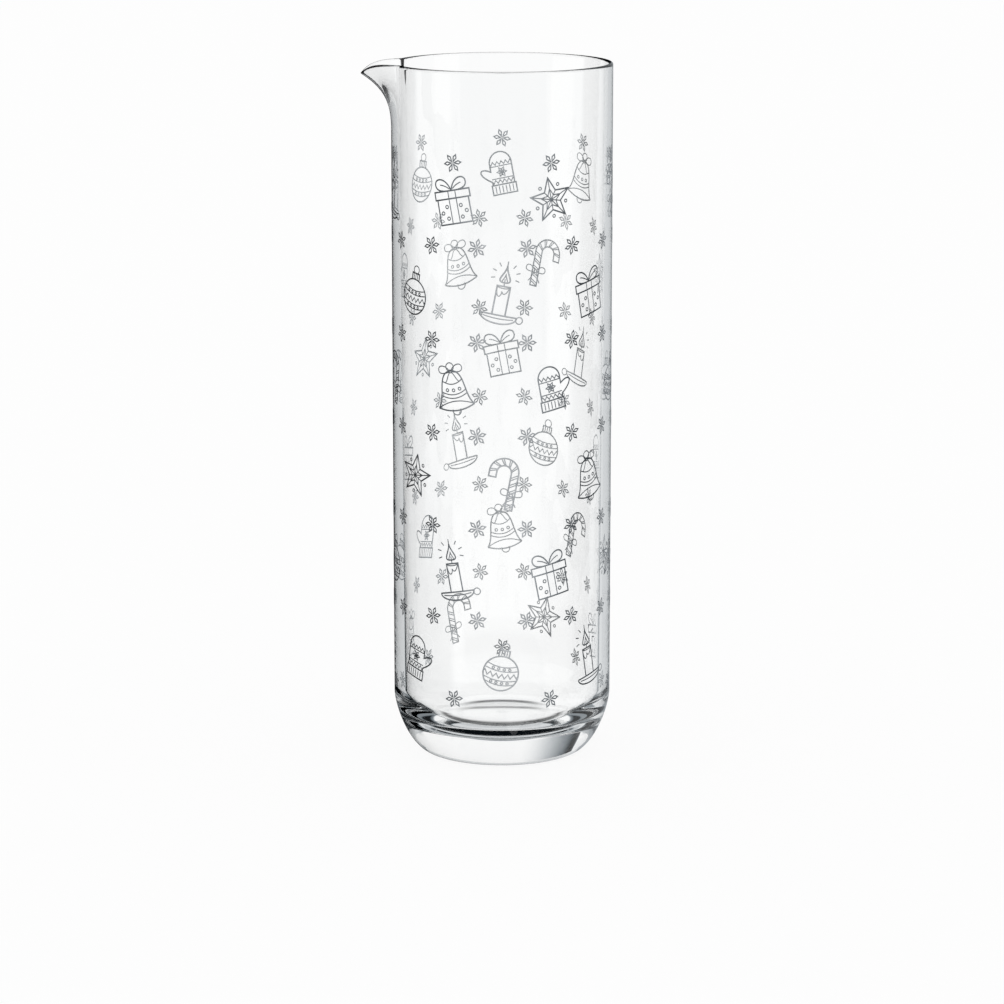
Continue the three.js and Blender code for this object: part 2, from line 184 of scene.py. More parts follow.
class Reading:
    """A number that changes over a surface, written like a number: each operator adds a Math node."""

    def __init__(self, recipe: "Recipe", socket: bpy.types.NodeSocket) -> None:
        """Keeps the socket that gives the number and the recipe that its nodes go on."""
        self.recipe = recipe
        self.socket = socket

    def math(self, operation: str, *values: "Number") -> "Reading":
        """The result of a Math node's operation on the values, in order."""
        return self.recipe.node("ShaderNodeMath", dict(enumerate(values)), operation=operation)

    def __add__(self, other: "Number") -> "Reading":
        """self + other."""
        return self.math("ADD", self, other)

    def __sub__(self, other: "Number") -> "Reading":
        """self - other."""
        return self.math("SUBTRACT", self, other)

    def __rsub__(self, other: float) -> "Reading":
        """other - self."""
        return self.math("SUBTRACT", other, self)

    def __mul__(self, other: "Number") -> "Reading":
        """self * other."""
        return self.math("MULTIPLY", self, other)

    __radd__ = __add__
    __rmul__ = __mul__

    def clamped(self) -> "Reading":
        """The number kept between 0 and 1."""
        return self.math("MINIMUM", self.at_least(0.0), 1.0)

    def at_least(self, other: "Number") -> "Reading":
        """The larger of the two."""
        return self.math("MAXIMUM", self, other)

    def size(self) -> "Reading":
        """The number without its sign."""
        return self.math("ABSOLUTE", self)

    def step(self, start: float, stop: float) -> "Reading":
        """A soft step over the number.

        Args:
            start: Where the step leaves 0.
            stop: Where it reaches 1. It may be the lower of the two.

        Returns:
            A number from 0 to 1.
        """
        inputs = {"Value": self, "From Min": start, "From Max": stop}
        return self.recipe.node("ShaderNodeMapRange", inputs, interpolation_type="SMOOTHSTEP")


Number = Union[Reading, float]
Feed = Union[Reading, bpy.types.NodeSocket, float, tuple]


@dataclass(frozen=True)
class Cloud:
    """Cloudy noise on a piece.

    Attributes:
        cells: Cells in a metre.
        octaves: Number of finer layers.
        upright: Factor on the cells along Z.
    """

    cells: float
    octaves: float
    upright: float = 1.0


class Recipe:
    """The nodes of one material or world, added one call at a time."""

    def __init__(self, owner: Union[bpy.types.Material, bpy.types.World]) -> None:
        """Empties the owner's node tree."""
        owner.use_nodes = True
        self.tree = owner.node_tree
        self.tree.nodes.clear()

    def add(self, kind: str, inputs: Optional[dict[Any, Feed]] = None, **settings: Any) -> bpy.types.Node:
        """Adds a node.

        Args:
            kind: The node's type.
            inputs: Values or links of its sockets, by name or number.
            settings: Its properties, set before its sockets.

        Returns:
            The node.
        """
        node = self.tree.nodes.new(kind)
        for key, value in settings.items():
            setattr(node, key, value)
        for key, value in (inputs or {}).items():
            source = value.socket if isinstance(value, Reading) else value
            if isinstance(source, bpy.types.NodeSocket):
                self.tree.links.new(source, node.inputs[key])
            else:
                node.inputs[key].default_value = source
        return node

    def node(self, kind: str, inputs: dict[Any, Feed], out: Any = 0, **settings: Any) -> Reading:
        """Adds a node and gives one of its outputs, by name or number, as a reading."""
        return Reading(self, self.add(kind, inputs, **settings).outputs[out])

    def blend(self, share: Reading, low: Colour, high: Colour) -> bpy.types.NodeSocket:
        """A colour that goes from the first to the second as the share goes from 0 to 1."""
        return self.add("ShaderNodeMix", {0: share, 6: low, 7: high}, data_type="RGBA").outputs[2]

    def place(self, stretch: tuple[float, float, float] = (1.0, 1.0, 1.0)) -> bpy.types.NodeSocket:
        """The piece's own coordinates in metres, times a factor along each axis."""
        where = self.add("ShaderNodeTexCoord").outputs["Object"]
        return self.add("ShaderNodeMapping", {"Vector": where, "Scale": stretch}).outputs[0]

    def axes(self, vector: bpy.types.NodeSocket) -> list[Reading]:
        """A vector's three numbers."""
        split = self.add("ShaderNodeSeparateXYZ", {0: vector})
        return [Reading(self, output) for output in split.outputs]

    def noise(self, cloud: Cloud) -> Reading:
        """Cloudy noise from 0 to 1."""
        where = self.place((1.0, 1.0, cloud.upright))
        inputs = {"Vector": where, "Scale": cloud.cells, "Detail": cloud.octaves}
        return self.node("ShaderNodeTexNoise", inputs, "Fac")

    def sight(self, *names: str) -> list[Reading]:
        """What kind of ray asks for a colour: outputs of the Light Path node."""
        path = self.add("ShaderNodeLightPath")
        return [Reading(self, path.outputs[name]) for name in names]

    def seen(self) -> Reading:
        """1 for rays from the camera, off gloss or through glass, and 0 for the light on dull surfaces."""
        eye, gloss, through = self.sight("Is Camera Ray", "Is Glossy Ray", "Is Transmission Ray")
        return eye.at_least(gloss).at_least(through)

    def mix(self, share: Reading, low: bpy.types.Node, high: bpy.types.Node) -> bpy.types.Node:
        """A shader that goes from the first to the second as the share goes from 0 to 1."""
        return self.add("ShaderNodeMixShader", {0: share, 1: low.outputs[0], 2: high.outputs[0]})

    def surface(self, shader: bpy.types.Node, output: str = "ShaderNodeOutputMaterial") -> None:
        """Sends a shader to the tree's output."""
        self.add(output, {"Surface": shader.outputs[0]})

    def principled(self, bumps: Reading, depth: float, strength: float, inputs: dict[str, Feed]) -> None:
        """Ends the recipe with a bumpy Principled surface.

        Args:
            bumps: Its height from 0 to 1.
            depth: Height of the bumps in metres.
            strength: How far they tilt the surface.
            inputs: The shader's other sockets.
        """
        bump = self.add("ShaderNodeBump", {"Strength": strength, "Distance": depth, "Height": bumps})
        inputs = {**inputs, "Normal": bump.outputs[0]}
        self.surface(self.add("ShaderNodeBsdfPrincipled", inputs))


def new_recipe(name: str) -> tuple[bpy.types.Material, Recipe]:
    """A new material and the recipe of its nodes."""
    material = bpy.data.materials.new(name)
    return material, Recipe(material)


# Finishes


@dataclass(frozen=True)
class ClearGlass:
    """Colourless soda glass: a trace of cool tint where it is thick, faint drawing ripples and handling haze.

    Attributes:
        ior: Index of refraction.
        thin_colour: Colour of the thin wall.
        thick_colour: Colour of the heavy base.
        thick_top: Height in metres at which the base's tint has faded.
        haze: Most roughness that handling leaves.
        smears: Where handling has left it.
        smear_start: Level of the smears at which haze starts.
        smear_gain: How fast it grows from there.
        ripple: Height of the ripples in metres.
        waves: Where the ripples are.
    """

    ior: float = 1.5
    thin_colour: Colour = (0.995, 0.998, 0.9975, 1.0)
    thick_colour: Colour = (0.988, 0.993, 0.9925, 1.0)
    thick_top: float = 0.045
    haze: float = 0.012
    smears: Cloud = Cloud(60.0, 3.0, 0.35)
    smear_start: float = 0.52
    smear_gain: float = 5.0
    ripple: float = 0.000004
    waves: Cloud = Cloud(90.0, 1.0, 0.12)

    def material(self) -> bpy.types.Material:
        """Builds the material.

        Returns:
            A clear refracting material.
        """
        material, recipe = new_recipe("clear_glass")
        height = recipe.axes(recipe.place())[2]
        thickness = height.step(self.thick_top, 0.0)
        smear = recipe.noise(self.smears)
        inputs = {
            "Base Color": recipe.blend(thickness, self.thin_colour, self.thick_colour),
            "Roughness": ((smear - self.smear_start) * self.smear_gain).clamped() * self.haze,
            "IOR": self.ior,
            "Transmission Weight": 1.0,
        }
        recipe.principled(recipe.noise(self.waves), self.ripple, 1.0, inputs)
        return material


@dataclass(frozen=True)
class FiredInk:
    """Silvery grey ink, metallic and slightly rough, uneven where the screen laid it.

    Attributes:
        dark: Colour of its thin places.
        light: Colour of its full places.
        metallic: Share of metal flake.
        smooth: Least roughness.
        rough: Most roughness.
        patches: Where the ink is thin or full.
        patch_start: Level of the patches below which the ink is thin.
        patch_gain: How fast it fills from there.
        screen: The screen's grain.
        screen_gain: How far the grain changes the cover.
        grain: Height of the grain in metres.
        grain_strength: How far the grain tilts the surface.
    """

    dark: Colour = (0.44, 0.46, 0.48, 1.0)
    light: Colour = (0.58, 0.60, 0.62, 1.0)
    metallic: float = 0.95
    smooth: float = 0.22
    rough: float = 0.36
    patches: Cloud = Cloud(260.0, 2.0)
    patch_start: float = 0.35
    patch_gain: float = 2.2
    screen: Cloud = Cloud(2600.0, 1.0)
    screen_gain: float = 0.5
    grain: float = 0.000012
    grain_strength: float = 0.6

    def material(self) -> bpy.types.Material:
        """Builds the material.

        Returns:
            An opaque grey metallic material.
        """
        material, recipe = new_recipe("print_ink")
        grain = recipe.noise(self.screen)
        full = (recipe.noise(self.patches) - self.patch_start) * self.patch_gain
        cover = (full + (grain - 0.5) * self.screen_gain).clamped()
        inputs = {
            "Base Color": recipe.blend(cover, self.dark, self.light),
            "Roughness": self.rough - cover * (self.rough - self.smooth),
            "Metallic": self.metallic,
        }
        recipe.principled(grain, self.grain, self.grain_strength, inputs)
        return material


# Glass


@dataclass
class Vessel:
    """The one piece of glass: heavy rounded base, tapering wall, round rim and pulled pouring lip.

    Lengths are in millimetres and follow the solid that it stands for. pole_share is the share of a flat
    end's radius that a fan of triangles fills, and the two crowdings draw rows to the rim and columns to the
    lip's tip and creases.
    """

    height: float = 270.0
    diameter: float = 85.0
    rim_wall: float = 1.7
    floor_wall: float = 4.8
    floor_height: float = 12.0
    floor_corner: float = 14.0
    round_rise: float = 22.5
    round_reach: float = 11.4
    round_power: float = 1.51
    lip_reach: float = 12.1
    lip_drop: float = 4.1
    lip_depth: float = 29.0
    lip_half_angle: float = math.radians(21.3)
    lip_keel_power: float = 3.45
    lip_drop_power: float = 3.7
    lip_tip_round: float = 0.085
    pole_share: float = 0.2
    row_crowding: float = 0.6
    column_crowding: float = 0.14
    lip_columns: int = 61
    body_columns: int = 260
    round_steps: int = 40
    wall_steps: int = 16
    lip_steps: int = 36
    rim_steps: int = 12
    corner_steps: int = 22
    floor_steps: int = 6

    @property
    def radius(self) -> float:
        """Radius of the straight wall."""
        return self.diameter / 2

    @property
    def lip_foot(self) -> float:
        """Height at which the lip starts to leave the wall."""
        return self.height - self.lip_depth

    def wall_at(self, z: np.ndarray) -> np.ndarray:
        """Wall thickness at each height: a straight line from the floor's to the rim's."""
        share = (z - self.floor_height) / (self.height - self.floor_height)
        return self.floor_wall + share * (self.rim_wall - self.floor_wall)

    def section(self) -> np.ndarray:
        """Half of the section, from beside the underside's centre out, up, over the rim and back in.

        The base rounding is a superellipse quarter: the radius grows with sin(t) and the height with
        1 - cos(t), both raised to 2 / power. The wall is straight, the rim is half round, the inner wall
        follows the thickness, and a quarter of a circle leads to the flat floor.

        Returns:
            Radius and height of each point.
        """
        quarter = 0.5 * math.pi
        foot = self.radius - self.round_reach
        rim = self.rim_wall / 2
        rim_foot = self.height - rim
        corner_top = self.floor_height + self.floor_corner

        out = np.linspace(self.pole_share * foot, foot, self.floor_steps, endpoint=False)
        t = np.linspace(0.0, quarter, self.round_steps)
        power = 2 / self.round_power
        bend_r = foot + self.round_reach * np.sin(t) ** power
        bend_z = self.round_rise * (1 - np.clip(np.cos(t), 0.0, 1.0) ** power)

        up = np.linspace(self.round_rise, self.lip_foot, self.wall_steps)[1:]
        climb = np.linspace(0.0, 1.0, self.lip_steps)[1:] ** self.row_crowding
        wall_z = np.concatenate((up, self.lip_foot + (rim_foot - self.lip_foot) * climb))
        turn = np.linspace(0.0, math.pi, self.rim_steps)[1:-1]

        down = np.concatenate((wall_z[::-1], [corner_top]))
        inner_r = self.radius - self.wall_at(down)
        sweep = np.linspace(0.0, quarter, self.corner_steps)[1:]
        corner_r = inner_r[-1] - self.floor_corner * (1 - np.cos(sweep))
        back = np.linspace(corner_r[-1], self.pole_share * corner_r[-1], self.floor_steps)[1:]

        stretches = (
            pairs(out, 0.0),
            pairs(bend_r, bend_z),
            pairs(self.radius, wall_z),
            pairs(self.radius - rim + rim * np.cos(turn), rim_foot + rim * np.sin(turn)),
            pairs(inner_r, down),
            pairs(corner_r, corner_top - self.floor_corner * np.sin(sweep)),
            pairs(back, self.floor_height),
        )
        return np.concatenate(stretches)

    def column_angles(self) -> np.ndarray:
        """Angles of the columns from the lip's axis: close together at the lip's tip and its two creases.

        Returns:
            Angles over one full turn, without the closing one.
        """
        even = np.linspace(-1.0, 1.0, self.lip_columns)
        crowded = even - self.column_crowding * np.sin(2 * math.pi * even) / math.pi
        in_lip = self.lip_half_angle * crowded
        rest = np.linspace(self.lip_half_angle, 2 * math.pi - self.lip_half_angle, self.body_columns)
        return np.concatenate((in_lip, rest[1:-1]))

    def lip_plan(self, angles: np.ndarray) -> np.ndarray:
        """The lip's plan: 1 at its tip and 0 past its two creases.

        It falls as the hypotenuse of the share of the half angle and a small tip radius, so the tip is
        rounded and the flanks run nearly straight.

        Args:
            angles: Angles from the lip's axis.

        Returns:
            The plan at each angle.
        """
        from_axis = np.abs((angles + math.pi) % (2 * math.pi) - math.pi)
        share = np.minimum(from_axis / self.lip_half_angle, 1.0)
        fall = np.hypot(share, self.lip_tip_round) - self.lip_tip_round
        return 1 - fall / (math.hypot(1.0, self.lip_tip_round) - self.lip_tip_round)

    def surface(self, section: np.ndarray, angles: np.ndarray) -> np.ndarray:
        """The section carried round the axis, with the lip pulled out and down near the rim.

        Each point's radius grows by reach * plan * climb ** keel power, and its height falls by
        drop * plan ** drop power * climb, where climb goes from 0 at the lip's foot to 1 at the rim.

        Args:
            section: Radius and height of each row.
            angles: Angle of each column from the lip's axis.

        Returns:
            Points by row, column and axis.
        """
        r, z = section[:, :1], section[:, 1:]
        plan = self.lip_plan(angles)[None, :]
        climb = np.clip((z - self.lip_foot) / self.lip_depth, 0.0, None)
        reach = r + self.lip_reach * plan * climb**self.lip_keel_power
        level = z - self.lip_drop * plan**self.lip_drop_power * climb
        x = -reach * np.cos(angles)[None, :]
        y = -reach * np.sin(angles)[None, :]
        return np.stack((x, y, level), axis=-1)

    def shell(self) -> Shell:
        """The closed surface: the grid, and a fan of triangles at each end of the section.

        Returns:
            The glass as one shell.
        """
        section, angles = self.section(), self.column_angles()
        rows, columns = len(section), len(angles)
        count = rows * columns
        points = self.surface(section, angles).reshape(-1, 3)
        ends = np.array([[0.0, 0.0, 0.0], [0.0, 0.0, self.floor_height]])
        under = fan(count, 0, columns)[:, [0, 2, 1]]
        inside = fan(count + 1, count - columns, columns)
        return Shell(np.concatenate((points, ends)), [ring_quads(rows, columns, False), under, inside])

    def build(self, glass: ClearGlass) -> None:
        """Makes the glass piece with its finish."""
        piece = self.shell().to_object("carafe_glass", glass.material())
        finish_piece(piece, ["glass_body"])


# Line drawing

CURVE_POINTS = 14
ARC_LEAST_POINTS = 5
ARC_DEGREE_MM = 14
CORNER_CLEARANCE = 0.3
OVERLAP = 0.1


@dataclass
class Stroke:
    """One drawn line of the print, flat, in millimetres.

    Attributes:
        points: Its corners.
        closed: Whether it ends where it starts.
        weight: Its width.
    """

    points: np.ndarray
    closed: bool = False
    weight: Weight = Weight.DETAIL

    def stepped(self, step: float) -> np.ndarray:
        """Points along the line, close enough to bend round the body, with every corner kept.

        Even points that lie nearer to a corner than the clearance's share of a step are left out.

        Args:
            step: Longest step.

        Returns:
            The points. A closed line's first point isn't repeated.
        """
        corners = np.concatenate((self.points, self.points[:1])) if self.closed else self.points
        far = np.hypot(*np.diff(corners, axis=0).T)
        along = np.concatenate(([0.0], np.cumsum(far)))
        even = np.linspace(0.0, along[-1], max(2, int(along[-1] / step) + 1))
        nearest = np.abs(even[:, None] - along[None, :]).min(axis=1)
        places = np.sort(np.concatenate((along, even[nearest > CORNER_CLEARANCE * step])))
        points = pairs(*(np.interp(places, along, corners[:, k]) for k in (0, 1)))
        return points[:-1] if self.closed else points


def line(*corners: Point) -> np.ndarray:
    """Straight stretches between corners."""
    return np.array(corners, float)


def arc(centre: Point, radii: Point, start: float, stop: float) -> np.ndarray:
    """Part of an ellipse, with a point for each so many degrees times millimetres of radius.

    Args:
        centre: Its centre.
        radii: Half width and half height.
        start: First angle in degrees.
        stop: Last angle in degrees.

    Returns:
        Points from the first angle to the last.
    """
    steps = max(ARC_LEAST_POINTS, int(abs(stop - start) * max(radii) / ARC_DEGREE_MM))
    t = np.radians(np.linspace(start, stop, steps))
    return pairs(centre[0] + radii[0] * np.cos(t), centre[1] + radii[1] * np.sin(t))


def ring(x: float, y: float, radius: float) -> np.ndarray:
    """A full circle, without its closing point."""
    return arc((x, y), (radius, radius), 0.0, 360.0)[:-1]


def bezier(*handles: Point) -> np.ndarray:
    """A Bezier curve: handles weighted by the terms of (1 - t + t) ** degree."""
    degree = len(handles) - 1
    t = np.linspace(0.0, 1.0, CURVE_POINTS)[:, None]
    share = [math.comb(degree, k) * t**k * (1 - t) ** (degree - k) for k in range(degree + 1)]
    return sum(s * np.array(h, float)[None, :] for s, h in zip(share, handles))


def zigzag(half: float, y: float, teeth: int, height: float) -> np.ndarray:
    """A zigzag between two ends on the same height.

    Args:
        half: How far its ends lie to each side.
        y: Its middle height.
        teeth: Number of teeth.
        height: Height from valley to tip.

    Returns:
        Its corners.
    """
    share = np.concatenate(([0.0], (np.arange(2 * teeth) + 0.5) / (2 * teeth), [1.0]))
    rise = np.concatenate(([0.0], np.resize([height / 2, -height / 2], 2 * teeth), [0.0]))
    return pairs(-half + 2 * half * share, y + rise)


def flipped(points: np.ndarray) -> np.ndarray:
    """The same line mirrored left to right."""
    return points * np.array([-1.0, 1.0])


def turned(points: np.ndarray, angle: float) -> np.ndarray:
    """The same line turned anticlockwise about the origin by an angle in radians."""
    c, s = math.cos(angle), math.sin(angle)
    return points @ np.array([[c, s], [-s, c]])


def kite(tip: float, foot: float, width: float, widest: float) -> np.ndarray:
    """A slim four-cornered leaf on the x axis, which is widest at a share of its length."""
    waist = foot + widest * (tip - foot)
    return line((foot, 0.0), (waist, -width / 2), (tip, 0.0), (waist, width / 2))


def box(half: float, start: float, stop: float) -> np.ndarray:
    """Three sides of a box: from one height to another, across and back."""
    return line((-half, start), (-half, stop), (half, stop), (half, start))


def swag(half: float, y: float, sag: float) -> np.ndarray:
    """A curve between two ends on the same height that hangs down in the middle."""
    return bezier((-half, y), (0.0, y - 2 * sag), (half, y))


def doubled(side: np.ndarray) -> np.ndarray:
    """A line that ends in the middle, followed by its mirror image."""
    return np.concatenate((side, flipped(side)[::-1][1:]))


def bold(points: np.ndarray, closed: bool = False) -> Stroke:
    """A line of a motif's outline."""
    return Stroke(points, closed, Weight.OUTLINE)


def bead(x: float, y: float, radius: float) -> Stroke:
    """A small drawn ring."""
    return Stroke(ring(x, y, radius), True)


def bow(x: float, y: float, reach: float, height: float, tail: float) -> list[Stroke]:
    """A ribbon bow: two loops, a knot and two tails.

    Args:
        x: Place of the knot, across.
        y: Place of the knot, up.
        reach: How far each loop goes out.
        height: Height of a loop.
        tail: Length of a tail.

    Returns:
        Its lines.
    """
    loop = bezier((0.3, 0.2), (0.4 * reach, height), (reach, height), (reach, 0.35 * height))
    back = bezier((reach, 0.35 * height), (reach, -0.3 * height), (0.5 * reach, -0.2 * height), (0.3, -0.2))
    side = np.concatenate((loop, back[1:]))
    hang = bezier((0.3, -0.4), (0.35 * reach, -0.4 * tail), (0.3 * reach, -0.7 * tail), (0.6 * reach, -tail))
    lines = [bead(x, y, 0.55)]
    for shape in (side, hang):
        lines += [Stroke(shape + (x, y)), Stroke(flipped(shape) + (x, y))]
    return lines


class Motif:
    """A small picture of the print, drawn about its own middle."""

    kind = ""

    def strokes(self) -> list[Stroke]:
        """Its lines."""
        raise NotImplementedError


@dataclass
class Bauble(Motif):
    """A ball ornament with a cap, a hanging ring and patterned bands."""

    kind = "bauble"
    radius: float = 6.8
    cap_width: float = 4.0
    cap_height: float = 2.4
    ring_radius: float = 1.5
    teeth: int = 6
    tooth_height: float = 1.7
    band_sag: float = 1.1
    band_drops: tuple[float, ...] = (-3.6, -1.9, 1.9, 3.6)
    dot_places: tuple[float, ...] = (-3.2, -1.1, 1.1, 3.2)
    dot_rise: float = 2.75
    dot_radius: float = 0.45

    def strokes(self) -> list[Stroke]:
        """The ball's outline, the cap and the ring, and bands of zigzags and dots.

        Returns:
            Its lines.
        """
        middle = -(self.cap_height + 2 * self.ring_radius) / 2
        half = self.cap_width / 2
        foot = middle + math.sqrt(self.radius**2 - half**2)
        top = middle + self.radius + self.cap_height
        lines = [
            bold(ring(0, middle, self.radius), True),
            bold(box(half, foot, top)),
            bead(0, top + self.ring_radius - OVERLAP, self.ring_radius),
        ]
        lines += [Stroke(line((x, foot + 0.6), (x, top))) for x in (-half / 2, 0.0, half / 2)]
        for drop in self.band_drops:
            end = math.sqrt(self.radius**2 - drop**2)
            lines.append(Stroke(swag(end, middle - drop, self.band_sag)))
        wave = zigzag(self.radius, middle, self.teeth, self.tooth_height)
        wave[:, 1] -= self.band_sag * (1 - (wave[:, 0] / self.radius) ** 2)
        lines.append(Stroke(wave))
        for x in self.dot_places:
            sag = self.band_sag * (1 - (x / self.radius) ** 2)
            for y in (middle - self.dot_rise, middle + self.dot_rise):
                lines.append(bead(x, y - sag, self.dot_radius))
        return lines


@dataclass
class Bell(Motif):
    """A bell with a rim band, a clapper, a loop and a bow. Its bands start at points of its drawn side."""

    kind = "bell"
    width: float = 15.0
    height: float = 13.5
    waist_inset: float = 3.75
    waist_height: float = 3.4
    shoulder_reach: float = 6.3
    rim_sag: float = 1.8
    clapper_radius: float = 1.7
    loop_radius: float = 1.6
    band_points: tuple[int, ...] = (4, 5, 8)
    dot_places: tuple[float, ...] = (-2.6, 0.0, 2.6)
    dot_height: float = 6.0
    dot_radius: float = 0.55
    bow_sizes: tuple[float, float, float] = (5.0, 3.0, 4.2)

    def strokes(self) -> list[Stroke]:
        """The bell's sides and rim, the clapper, the loop, the bands and dots, and a bow over the crown.

        Returns:
            Its lines.
        """
        foot, top = -self.height / 2, self.height / 2
        half = self.width / 2
        waist = (self.waist_inset - half, foot + self.waist_height)
        side = bezier((-half, foot), waist, (-self.shoulder_reach, top), (0.0, top))
        lines = [
            bold(doubled(side)),
            bold(swag(half, foot, self.rim_sag)),
            Stroke(swag(half, foot, -self.rim_sag)),
            Stroke(arc((0, foot - self.rim_sag), (self.clapper_radius,) * 2, -200, 20)),
            bead(0, top + self.loop_radius - OVERLAP, self.loop_radius),
        ]
        lines += [Stroke(swag(-x, y, 0.9 * self.rim_sag)) for x, y in side[list(self.band_points)]]
        for x in self.dot_places:
            lines.append(bead(x, foot + self.dot_height + 0.05 * x * x, self.dot_radius))
        return lines + bow(0.0, top - 2 * OVERLAP, *self.bow_sizes)


@dataclass
class Candle(Motif):
    """A burning candle standing in a dish. Its rays start at ray_first degrees and fan over ray_sweep."""

    kind = "candle"
    width: float = 5.0
    height: float = 12.0
    flame_gap: float = 1.4
    flame_width: float = 4.4
    flame_height: float = 6.5
    dish_width: float = 14.0
    dish_depth: float = 3.4
    dish_overlap: float = 0.9
    rays: int = 7
    ray_first: float = -15.0
    ray_sweep: float = 210.0
    ray_ends: Point = (4.0, 5.6)

    def strokes(self) -> list[Stroke]:
        """The stem with its drips, the dish with its finger ring, and the double flame with its rays.

        Returns:
            Its lines.
        """
        foot = (self.dish_depth - self.height - self.flame_gap - self.flame_height) / 2
        top = foot + self.height
        tip = top + self.flame_gap
        half, dish = self.width / 2, self.dish_width / 2
        rim, bowl = foot + self.dish_overlap, foot - self.dish_depth
        lines = [
            bold(box(half, rim, top)),
            Stroke(arc((0, top), (half, 0.8), 180, 360)),
            Stroke(bezier((-half, top), (-half, top - 5.5), (-0.3, top - 4.5), (-0.4, top - 2.0))),
            Stroke(bezier((-0.4, top - 2.0), (0.2, top - 3.6), (1.2, top - 3.4), (half, top))),
            Stroke(line((0, top), (0, tip + 1.4))),
            bold(line((-dish, rim), (dish, rim))),
            bold(bezier((-dish, rim), (-dish, bowl), (dish, bowl), (dish, rim))),
            Stroke(swag(dish - 1.2, rim - 0.9, 0.45)),
            bead(dish + 1.1, rim - 0.7, 1.3),
        ]
        for share, weight in ((1.0, Weight.OUTLINE), (0.5, Weight.DETAIL)):
            wide, high = share * self.flame_width, share * self.flame_height
            side = bezier((0, tip), (wide, tip), (0, tip + high / 2), (0, tip + high))
            lines.append(Stroke(doubled(side)[:-1], True, weight))
        glow = (0.0, tip + 0.4 * self.flame_height)
        ray = pairs(np.array(self.ray_ends), 0.0)
        for k in range(self.rays):
            angle = math.radians(self.ray_first + self.ray_sweep * k / (self.rays - 1))
            lines.append(Stroke(turned(ray, angle) + glow))
        return lines


@dataclass
class Mitten(Motif):
    """A knitted mitten with a thumb, a ribbed cuff and patterned bands, whose heights are over the cuff."""

    kind = "mitten"
    width: float = 9.0
    height: float = 13.0
    thumb_reach: float = 4.4
    thumb_width: float = 4.2
    thumb_rise: float = 1.4
    cuff_width: float = 10.0
    cuff_height: float = 3.8
    ribs: int = 7
    teeth: int = 5
    tooth_height: float = 1.3
    zigzag_heights: Point = (1.3, 8.6)
    band_heights: Point = (2.5, 7.4)
    star_height: float = 4.95

    def strokes(self) -> list[Stroke]:
        """The hand with its thumb, the cuff's ribs, two knitted zigzags and a small star.

        Returns:
            Its lines.
        """
        wrist = (self.cuff_height - self.height) / 2
        half, cuff = self.width / 2, self.cuff_width / 2
        top = wrist + self.height - half
        root = wrist + self.thumb_rise
        tip = half + self.thumb_reach
        low = wrist - self.cuff_height
        palm = arc((0, top), (half, half), 180, 0)
        thumb = bezier((half, root + self.thumb_width), (tip, top), (tip + 2.1, root + 4.2), (half, root))
        hand = np.concatenate((line((-half, wrist)), palm, thumb, line((half, wrist))))
        lines = [bold(hand), bold(box(cuff, wrist, low), True)]
        for k in range(1, self.ribs):
            x = -cuff + 2 * cuff * k / self.ribs
            lines.append(Stroke(line((x, low + 0.5), (x, wrist - 0.5))))
        lines += [Stroke(zigzag(half, wrist + y, self.teeth, self.tooth_height)) for y in self.zigzag_heights]
        lines += [Stroke(line((-half, wrist + y), (half, wrist + y))) for y in self.band_heights]
        leaf = kite(2.0, 0.3, 0.9, 0.5)
        for k in range(6):
            lines.append(Stroke(turned(leaf, math.pi * k / 3) + (0.0, wrist + self.star_height), True))
        return lines


@dataclass
class Cane(Motif):
    """A hooked sugar cane with slanting pairs of stripes and a bow."""

    kind = "cane"
    width: float = 2.8
    hook_radius: float = 4.2
    leg: float = 14.0
    tail: float = 2.2
    slant: float = 1.6
    leg_stripes: int = 5
    hook_stripes: int = 5
    first_stripe: float = 0.35
    leg_pair: float = 0.9
    hook_pair: float = 0.16
    bow_share: float = 0.42
    bow_sizes: tuple[float, float, float] = (4.2, 2.6, 4.4)

    def strokes(self) -> list[Stroke]:
        """The outline, paired stripes along the leg and round the hook, and a bow on the leg.

        Returns:
            Its lines.
        """
        outer = self.hook_radius + self.width / 2
        inner = self.hook_radius - self.width / 2
        hook = (self.leg - outer) / 2
        foot, end = hook - self.leg, hook - self.tail
        rim = (line((outer, foot)), arc((0, hook), (outer,) * 2, 0, 180), line((-outer, end)))
        bend = (line((-inner, end)), arc((0, hook), (inner,) * 2, 180, 0), line((inner, foot)))
        lines = [bold(np.concatenate(rim + bend), True)]
        for k in range(self.leg_stripes):
            for extra in (0.0, self.leg_pair):
                y = foot + self.leg * (k + self.first_stripe) / self.leg_stripes + extra - self.slant / 2
                lines.append(Stroke(line((inner, y), (outer, y + self.slant))))
        for k in range(self.hook_stripes):
            for extra in (0.0, self.hook_pair):
                angle = math.pi * (k + self.first_stripe) / self.hook_stripes + extra
                start = turned(line((inner, 0.0)), angle)
                stop = turned(line((outer, 0.0)), angle + self.slant / outer)
                lines.append(Stroke(np.concatenate((start, stop)) + (0.0, hook)))
        return lines + bow(self.hook_radius, foot + self.bow_share * self.leg, *self.bow_sizes)


